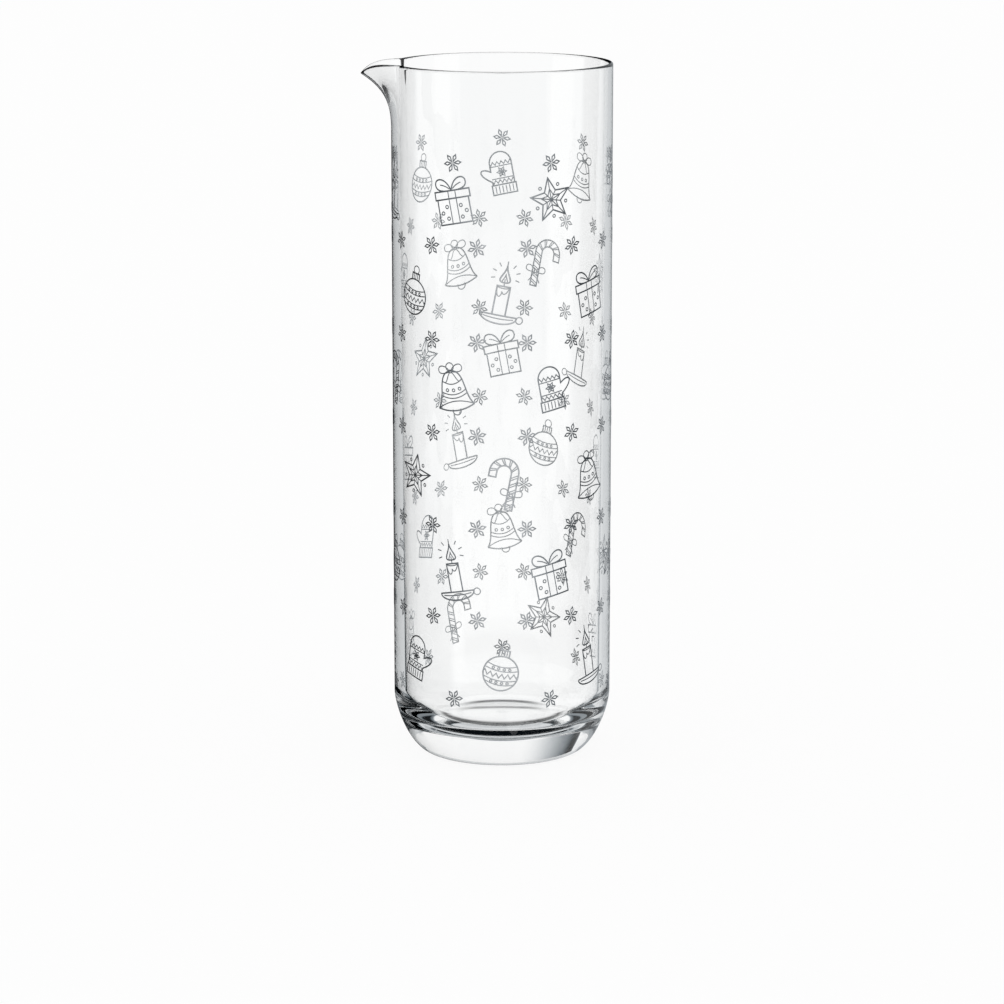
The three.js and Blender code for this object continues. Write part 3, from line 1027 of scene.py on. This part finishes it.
@dataclass
class Gift(Motif):
    """A lidded parcel with a ribbon, a bow and a dotted wrapping."""

    kind = "gift"
    width: float = 13.0
    height: float = 9.5
    lid_width: float = 14.6
    lid_height: float = 3.0
    ribbon_width: float = 3.0
    bow_reach: float = 6.4
    bow_height: float = 5.6
    dots: tuple[Point, ...] = ((2.9, 2.2), (4.9, 4.4), (2.9, 6.6))
    dot_radius: float = 0.6

    def strokes(self) -> list[Stroke]:
        """The box and its lid, the ribbon down both, the bow, and rings on the wrapping.

        Returns:
            Its lines.
        """
        low = (self.height - self.lid_height - self.bow_height) / 2
        top, foot = low + self.lid_height, low - self.height
        half, lid = self.width / 2, self.lid_width / 2
        peak, waist = top + self.bow_height, top + self.bow_height / 2
        lines = [bold(box(lid, low, top), True), bold(box(half, low, foot))]
        for side in (-1, 1):
            band, out = side * self.ribbon_width / 2, side * self.bow_reach
            lines.append(Stroke(line((band, foot), (band, top))))
            lines += [bead(side * x, foot + y, self.dot_radius) for x, y in self.dots]
            loop = bezier((0, top), (band, peak), (out, peak), (out, waist))
            back = bezier((out, waist), (out, top), (band, top))
            lines.append(bold(np.concatenate((loop, back[1:]))))
            crease = bezier((side * 0.6, top + 0.6), (side * 2.4, top + 2.2), (side * 4.4, top + 2.6))
            lines.append(Stroke(crease))
        return lines


@dataclass
class Star(Motif):
    """A faceted star with a smaller star inside it and beads between its tips."""

    kind = "star"
    tips: int = 5
    radius: float = 8.4
    valley_radius: float = 3.9
    inner_share: float = 0.5
    bead_radius: float = 0.55
    bead_reach: float = 6.3

    def outline(self, share: float) -> np.ndarray:
        """Corners of a star of the same shape, tips and valleys in turn, from the top anticlockwise.

        Args:
            share: Its size next to the full star's.

        Returns:
            The corners.
        """
        turn = np.pi * np.arange(2 * self.tips) / self.tips
        reach = share * np.where(np.arange(2 * self.tips) % 2, self.valley_radius, self.radius)
        return pairs(-reach * np.sin(turn), reach * np.cos(turn))

    def strokes(self) -> list[Stroke]:
        """The outline, the inner star, a ridge from each tip over the middle, and the beads.

        Returns:
            Its lines.
        """
        corners = self.outline(1.0)
        lines = [bold(corners, True), Stroke(self.outline(self.inner_share), True)]
        for k in range(0, 2 * self.tips, 2):
            lines.append(Stroke(np.stack((corners[k], corners[(k + self.tips) % len(corners)]))))
            valley = corners[k + 1] * (self.bead_reach / self.valley_radius)
            lines.append(bead(*valley, self.bead_radius))
        return lines


@dataclass
class Crystal(Motif):
    """A six-armed frost crystal of slim leaves."""

    kind = "crystal"
    arms: int = 6
    radius: float = 3.4
    foot: float = 0.55
    width: float = 1.25
    widest: float = 0.62

    def strokes(self) -> list[Stroke]:
        """One leaf for each arm."""
        leaf = kite(self.radius, self.foot, self.width, self.widest)
        turns = [2 * math.pi * k / self.arms for k in range(self.arms)]
        return [Stroke(turned(leaf, turn), True, Weight.FROST) for turn in turns]


@dataclass
class Placement:
    """Where one motif lies on the body.

    Attributes:
        bearing: Angle round the axis from the front towards +X, in radians.
        height: Height of its middle.
        tilt: How far it leans, in radians.
    """

    bearing: float
    height: float
    tilt: float = 0.0


@dataclass
class WinterPrint:
    """The fired-on print: staggered rows of motifs with frost crystals strewn between them.

    Lengths are in millimetres. Rows, columns and tilts follow the solids that the film stands for.
    """

    vessel: Vessel
    rows: int = 6
    columns: int = 7
    crystal_row_step: int = 2
    tilt: float = math.radians(11)
    foot_margin: float = 2.0
    lip_margin: float = 1.0
    gap: float = 0.03
    film: float = 0.05
    crown: float = 0.32
    step: float = 0.6
    mitre_limit: float = 2.0
    edge_inset: float = 4.2
    motifs: list[Motif] = field(
        default_factory=lambda: [Bauble(), Candle(), Gift(), Star(), Cane(), Bell(), Mitten()]
    )
    crystal: Crystal = field(default_factory=Crystal)

    @property
    def foot(self) -> float:
        """Lowest height of the print."""
        return self.vessel.round_rise + self.foot_margin

    @property
    def top(self) -> float:
        """Highest height of the print."""
        return self.vessel.lip_foot - self.lip_margin

    @property
    def pitch(self) -> float:
        """Height of a row."""
        return (self.top - self.foot) / self.rows

    def motif_places(self) -> dict[str, list[Placement]]:
        """Places of the large motifs by kind, in the order in which their nodes are numbered.

        Returns:
            Placements under each motif's kind.
        """
        places: dict[str, list[Placement]] = {motif.kind: [] for motif in self.motifs}
        for row in range(self.rows):
            for column in range(self.columns):
                motif = self.motifs[(column + 2 * row) % len(self.motifs)]
                bearing = 2 * math.pi * (column + (row % 2) / 2) / self.columns
                tilt = self.tilt if (column + row) % 2 else -self.tilt
                places[motif.kind].append(Placement(bearing, self.foot + self.pitch * (row + 0.5), tilt))
        return places

    def crystal_places(self) -> list[Placement]:
        """Places of the frost crystals: first those with a node, then the finer scatter.

        Each line of the scatter gives the heights, the share of a column and the lean of its crystals.

        Returns:
            Their placements.
        """
        turn = 2 * math.pi / self.columns
        gaps = [self.foot + self.pitch * gap for gap in range(1, self.rows)]
        with_node = gaps[self.crystal_row_step - 1 :: self.crystal_row_step]
        scatter = (
            (with_node, 0.25, 0.0),
            ([z for z in gaps if z not in with_node], 0.25, 0.2),
            (gaps, 0.75, 0.3),
            ([self.foot + self.edge_inset, self.top - self.edge_inset], 0.5, 0.15),
        )
        return [
            Placement(turn * (column + share), z, lean)
            for heights, share, lean in scatter
            for z in heights
            for column in range(self.columns)
        ]

    def ribbon(self, stroke: Stroke, place: Placement) -> Shell:
        """One line as a low closed ribbon of ink laid round the body.

        A four-cornered section, narrower on top, is carried along the line. The direction across the line
        is the mean of its neighbours' directions, lengthened at corners so that the width holds.

        Args:
            stroke: The flat line.
            place: Where its motif lies.

        Returns:
            The ribbon.
        """
        points = turned(stroke.stepped(self.step), place.tilt)
        if stroke.closed:
            before, after = np.roll(points, 1, axis=0), np.roll(points, -1, axis=0)
        else:
            before = np.concatenate((2 * points[:1] - points[1:2], points[:-1]))
            after = np.concatenate((points[1:], 2 * points[-1:] - points[-2:-1]))
        arrive, leave = points - before, after - points
        arrive /= np.hypot(*arrive.T)[:, None]
        leave /= np.hypot(*leave.T)[:, None]
        along = arrive + leave
        along /= np.maximum(np.hypot(*along.T)[:, None], 1e-6)
        bend = np.maximum((along * leave).sum(axis=1, keepdims=True), 1 / self.mitre_limit)
        across = pairs(-along[:, 1], along[:, 0]) / bend
        sides = np.array([0.5, self.crown, -self.crown, -0.5]) * stroke.weight.value
        lifts = np.array([0.0, self.film, self.film, 0.0])
        flat = points[:, None, :] + sides[None, :, None] * across[:, None, :]
        turn = place.bearing + flat[..., 0] / self.vessel.radius
        reach = self.vessel.radius + self.gap + lifts[None, :]
        x, y = reach * np.sin(turn), -reach * np.cos(turn)
        corners = np.stack((x, y, place.height + flat[..., 1]), axis=-1).reshape(-1, 3)
        count, around = len(points), len(sides)
        faces = [ring_quads(count, around, stroke.closed)[:, ::-1]]
        if not stroke.closed:
            first = np.arange(around)[None, :]
            faces += [first, first[:, ::-1] + (count - 1) * around]
        return Shell(corners, faces)

    def film_piece(self, motif: Motif, places: list[Placement], ink: bpy.types.Material) -> None:
        """Makes all copies of one motif as a piece, which stands for the motif's numbered CAD nodes.

        Args:
            motif: The drawing.
            places: Where its copies lie.
            ink: Its finish.
        """
        strokes = motif.strokes()
        shells = [self.ribbon(stroke, place) for place in places for stroke in strokes]
        piece = Shell.joined(shells).to_object(f"{motif.kind}_line_print", ink, smooth=False)
        numbered = (f"{motif.kind}_print_{k + 1}" for k in range(len(places)))
        finish_piece(piece, [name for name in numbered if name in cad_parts])

    def build(self, ink: FiredInk) -> None:
        """Makes the films with their finish, one piece for each motif."""
        material = ink.material()
        places = {**self.motif_places(), self.crystal.kind: self.crystal_places()}
        for motif in (*self.motifs, self.crystal):
            self.film_piece(motif, places[motif.kind], material)


# Studio


@dataclass
class Viewpoint:
    """The photograph's camera: square on to the front, above the carafe and looking a little down.

    Attributes:
        back: Distance in front of the body's axis, in millimetres.
        up: Height over the standing surface, in millimetres.
        pitch: Downward angle in radians.
        focal: Focal length in pixels of the square frame.
        sensor: Sensor width in millimetres.
    """

    back: float = 1406.95
    up: float = 398.8
    pitch: float = 0.2106
    focal: float = 3672.5
    sensor: float = 36.0

    def build(self) -> None:
        """Makes the scene's camera."""
        lens = bpy.data.cameras.new("photo_camera")
        lens.sensor_width = self.sensor
        lens.lens = self.focal * self.sensor / PHOTO_SIDE
        camera = bpy.data.objects.new("photo_camera", lens)
        camera.location = (0.0, -self.back * MM, self.up * MM)
        camera.rotation_euler = (0.5 * math.pi - self.pitch, 0.0, 0.0)
        bpy.context.scene.collection.objects.link(camera)
        bpy.context.scene.camera = camera


@dataclass(frozen=True)
class Patch:
    """A soft-edged area of the room as it is seen from the carafe, in degrees.

    Attributes:
        bearing: First and last angle from straight behind the carafe towards +X.
        rise: First and last angle over the floor's horizon.
        soft: Width of its soft ends: first bearing, last bearing and both rises.
        level: Its brightness.
    """

    bearing: Point
    rise: Point
    soft: tuple[float, float, float]
    level: float

    def both_sides(self) -> tuple["Patch", "Patch"]:
        """The area, and its mirror image on the other side."""
        (first, last), (left, right, ends) = self.bearing, self.soft
        return self, Patch((-last, -first), self.rise, (right, left, ends), self.level)


@dataclass
class Outlook:
    """A direction in the room, in degrees, and how the room's areas change the level that is seen there."""

    bearing: Reading
    rise: Reading

    def within(self, patch: Patch) -> Reading:
        """How far the direction lies inside an area: the product of four soft steps, one for each side.

        Args:
            patch: The area.

        Returns:
            A share from 0 to 1.
        """
        left, right, ends = (width / 2 for width in patch.soft)
        share = self.bearing.step(patch.bearing[0] - left, patch.bearing[0] + left)
        share = share * self.bearing.step(patch.bearing[1] + right, patch.bearing[1] - right)
        share = share * self.rise.step(patch.rise[0] - ends, patch.rise[0] + ends)
        return share * self.rise.step(patch.rise[1] + ends, patch.rise[1] - ends)

    def lit(self, level: Number, patches: Sequence[Patch], mask: Number = 1.0) -> Number:
        """A level with areas that are at least as bright as they say.

        Args:
            level: The level without them.
            patches: The areas.
            mask: Share of them that is seen.

        Returns:
            The new level.
        """
        for patch in patches:
            level = (self.within(patch) * patch.level * mask).at_least(level)
        return level

    def dimmed(self, level: Number, patches: Sequence[Patch], mask: Number = 1.0) -> Number:
        """A level with areas that let only a share of it through.

        Args:
            level: The level without them.
            patches: The areas. Each one's level is the share.
            mask: Share of them that is seen.

        Returns:
            The new level.
        """
        for patch in patches:
            level = level * (1.0 - self.within(patch) * (1.0 - patch.level) * mask)
        return level


@dataclass
class Room:
    """A room that is white to the eye and straight through the glass, and darker in mirrors.

    The base's straight view has dark lines, and mirrors meet dark walls with soft boxes, which draw the edges
    of the glass. Levels are brightnesses, and depths count a ray's mirrors or crossings.

    Attributes:
        dull_light: Light on dull surfaces.
        cool: Powers of the level in red, green and blue, which turn greys a little cool.
        wall: Level of the walls without boxes.
        around: Boxes that every mirror meets.
        skin: Boxes that only mirrors on the outside meet.
        outside: Boxes that mirrors meet up to the deep depth.
        behind: The white wall behind, which only light from within the glass meets.
        front: The bright front that the satin ink mirrors.
        sides: The dim sides that the satin ink mirrors.
        deep: Mirrors past which a path is deep.
        deep_loss: Share of the level that a deep path loses.
        scattered: Mirrors past which a path is scattered, and meets only the next four.
        haze: Level of the scattered room.
        flanks: Its dark sides.
        spread: Its boxes.
        eyes: Boxes that it has up to one depth.
        eyes_end: Mirrors at which the eyes are gone.
        shaded: Dark lines that the base's straight view meets.
        base_end: Crossings at which they are gone.
    """

    dull_light: float = 0.9
    cool: tuple[float, float, float] = (1.07, 1.0, 0.95)
    wall: float = 0.004
    around: Sequence[Patch] = (
        Patch((-126, -78), (-10, 60), (6, 6, 5), 1.0),
        Patch((-126, -92), (-13, 60), (6, 6, 4), 1.0),
        Patch((-190, -124), (-21, 60), (8, 8, 5), 0.66),
        Patch((132, 190), (-21, 60), (8, 8, 5), 0.66),
        Patch((-190, -124), (-21, -10), (8, 8, 6), 1.0),
        Patch((132, 190), (-21, -10), (8, 8, 6), 1.0),
    )
    skin: Sequence[Patch] = (Patch((3, 44), (-40, 60), (4, 4, 10), 0.42),)
    outside: Sequence[Patch] = (
        Patch((44, 100), (-40, 60), (10, 6, 10), 0.75),
        Patch((98, 134), (-40, 60), (6, 6, 10), 1.0),
    )
    behind: Sequence[Patch] = (
        Patch((-42, 42), (-26, 8), (1.5, 1.5, 13), 0.75),
        Patch((-42, 42), (0, 41.5), (1.5, 1.5, 2), 1.0),
        Patch((-62, 62), (-1, 24), (6, 6, 4), 0.45),
    )
    front: Sequence[Patch] = Patch((140, 190), (-50, 60), (20, 1, 10), 1.0).both_sides()
    sides: Sequence[Patch] = Patch((52, 136), (-60, 60), (14, 72, 10), 0.06).both_sides()
    deep: float = 2.0
    deep_loss: float = 0.26
    scattered: float = 3.0
    haze: float = 0.25
    flanks: Sequence[Patch] = (
        Patch((51, 124), (-24, 26), (5, 12, 10), 0.0),
        Patch((-66, -51), (-24, 26), (8, 5, 10), 0.0),
    )
    spread: Sequence[Patch] = (
        Patch((-44, 44), (-70, 60), (16, 16, 10), 0.64),
        *Patch((33, 48), (6, 45), (6, 4, 6), 1.0).both_sides(),
        Patch((-121, -88), (-14, 32), (6, 8, 6), 0.84),
        Patch((-190, 190), (60, 100), (1, 1, 8), 0.66),
    )
    eyes: Sequence[Patch] = Patch((44, 90), (22, 53), (5, 8, 3), 1.0).both_sides()
    eyes_end: float = 5.0
    shaded: Sequence[Patch] = (
        Patch((-26, 26), (10, 10.7), (8, 8, 0.3), 0.3),
        Patch((-41.5, -21), (11.5, 90), (1.5, 28, 1), 0.2),
        Patch((-41.5, -34), (11.5, 90), (1.5, 7, 1), 0.0),
        *Patch((46, 190), (-90, 19), (8, 1, 4), 0.1).both_sides(),
    )
    base_end: float = 3.5

    def build(self) -> None:
        """Makes the world. Blurred mirrors on the outside are the ink's, and sharp ones are the glass's."""
        world = bpy.data.worlds.new("white_room")
        bpy.context.scene.world = world
        recipe = Recipe(world)
        x, y, z = recipe.axes(recipe.add("ShaderNodeTexCoord").outputs["Generated"])
        degrees = 180.0 / math.pi
        look = Outlook(x.math("ARCTAN2", x, y) * degrees, z.math("ARCSINE", z) * degrees)
        mirrors, crossings, sharp = recipe.sight("Glossy Depth", "Transmission Depth", "Is Singular Ray")
        inside = crossings.clamped()
        satin = (1.0 - inside) * (1.0 - sharp)
        in_base = inside * (self.base_end - crossings).clamped()
        deep = (mirrors - self.deep).clamped()

        walls = look.lit(self.wall, self.around)
        walls = look.lit(walls, self.skin, 1.0 - inside)
        walls = look.lit(walls, self.outside, 1.0 - deep)
        walls = look.lit(walls, self.behind, inside)
        walls = look.lit(walls, self.front, satin)
        walls = look.dimmed(walls, self.sides, satin) * (1.0 - self.deep_loss * deep)
        scattered = look.lit(look.dimmed(self.haze, self.flanks), self.spread)
        scattered = look.lit(scattered, self.eyes, (self.eyes_end - mirrors).clamped())
        walls = walls + (mirrors - self.scattered).clamped() * (scattered - walls)
        straight = look.dimmed(1.0, self.shaded, in_base)
        shown = straight + mirrors.clamped() * (walls - straight)

        tints = [shown.math("POWER", shown, power) for power in self.cool]
        seen = recipe.seen()
        levels = [self.dull_light + seen * (tint - self.dull_light) for tint in tints]
        colour = recipe.add("ShaderNodeCombineColor", dict(enumerate(levels)))
        shader = recipe.add("ShaderNodeBackground", {"Color": colour.outputs[0]})
        recipe.surface(shader, "ShaderNodeOutputWorld")


@dataclass(frozen=True)
class ContactShade:
    """Soft shade painted on the floor under the foot, which shows through the base: a front crescent and two
    arcs.

    Lengths are in millimetres.

    Attributes:
        front: Where the crescent starts and where it is full, along Y in the middle.
        bend: How much further back its edge lies towards the sides, per square millimetre.
        reach: Radius at which the crescent is full and radius at which it has faded.
        arcs: Radius and half width of each arc, behind the middle.
        arc_ends: Distance from the middle, along X, at which the arcs are full and at which they have faded.
        arc_core: Share of an arc's half width that is full.
    """

    front: Point = (-12.0, -17.0)
    bend: float = 0.013
    reach: Point = (26.0, 32.5)
    arcs: tuple[Point, ...] = ((20.0, 5.0), (30.7, 3.0))
    arc_ends: Point = (8.0, 21.0)
    arc_core: float = 0.2

    def lit(self, recipe: Recipe) -> Reading:
        """The light that is left on the floor.

        Args:
            recipe: The floor's recipe.

        Returns:
            A share from 0 to 1 at each place.
        """
        x, y, _ = recipe.axes(recipe.place((1 / MM,) * 3))
        radius = x.math("SQRT", x * x + y * y)
        lit = 1.0 - (y - x * x * self.bend).step(*self.front) * radius.step(*self.reach[::-1])
        back = x.size().step(*self.arc_ends[::-1]) * y.step(0.0, 1.0)
        for middle, half in self.arcs:
            lit = lit * (1.0 - back * (radius - middle).size().step(half, self.arc_core * half))
        return lit


@dataclass
class Floor:
    """A round pale floor that keeps a soft shadow and runs out into the white room.

    Lengths are in millimetres.

    Attributes:
        radius: Its reach.
        drop: How far it lies under the foot.
        sides: Corners of its rim.
        white: Its colour.
        glow: Share of plain white in what the eye sees. The rest is lit, and keeps the shadow.
        contact: Shade painted under the foot.
    """

    radius: float = 4000.0
    drop: float = 0.05
    sides: int = 96
    white: float = 0.9
    glow: float = 0.92
    contact: ContactShade = ContactShade()

    def material(self) -> bpy.types.Material:
        """Builds the material. Mirrors look past the floor at the room's walls.

        Returns:
            A pale material.
        """
        material, recipe = new_recipe("pale_floor")
        eye, mirrors = recipe.sight("Is Camera Ray", "Glossy Depth")
        dull = recipe.add("ShaderNodeBsdfDiffuse", {"Color": (self.white,) * 3 + (1.0,)})
        # Painted shade: the contact shade darkens the glowing floor's colour under the foot.
        colour = recipe.blend(self.contact.lit(recipe), (0.0, 0.0, 0.0, 1.0), (1.0, 1.0, 1.0, 1.0))
        bright = recipe.add("ShaderNodeEmission", {"Color": colour, "Strength": 1.0})
        pale = recipe.mix(recipe.seen() - eye * (1.0 - self.glow), dull, bright)
        clear = recipe.add("ShaderNodeBsdfTransparent")
        recipe.surface(recipe.mix(mirrors.clamped(), pale, clear))
        return material

    def build(self) -> None:
        """Makes the floor: a flat fan of triangles round the axis."""
        around = np.linspace(0.0, 2 * math.pi, self.sides, endpoint=False)
        rim = np.stack((np.cos(around), np.sin(around), np.zeros_like(around)), axis=1) * self.radius
        points = np.concatenate((rim, np.zeros((1, 3)))) - (0.0, 0.0, self.drop)
        shell = Shell(points, [fan(self.sides, 0, self.sides)])
        shell.to_object("pale_floor", self.material())


@dataclass
class Studio:
    """The room and the floor, and how far light is followed through the glass."""

    room: Room = field(default_factory=Room)
    floor: Floor = field(default_factory=Floor)
    bounces: int = 32

    def build(self) -> None:
        """Sets the scene's view and light, and makes the room and the floor."""
        scene = bpy.context.scene
        scene.view_settings.view_transform = "Standard"
        scene.cycles.max_bounces = self.bounces
        scene.cycles.transmission_bounces = self.bounces
        scene.cycles.glossy_bounces = self.bounces
        self.room.build()
        self.floor.build()


def main() -> None:
    """Builds the camera, the glass, its print and the studio, in that order."""
    logging.basicConfig(level=logging.INFO, format="%(name)s: %(message)s")
    Viewpoint().build()
    vessel = Vessel()
    vessel.build(ClearGlass())
    WinterPrint(vessel).build(FiredInk())
    Studio().build()


if __name__ == "__main__":
    main()
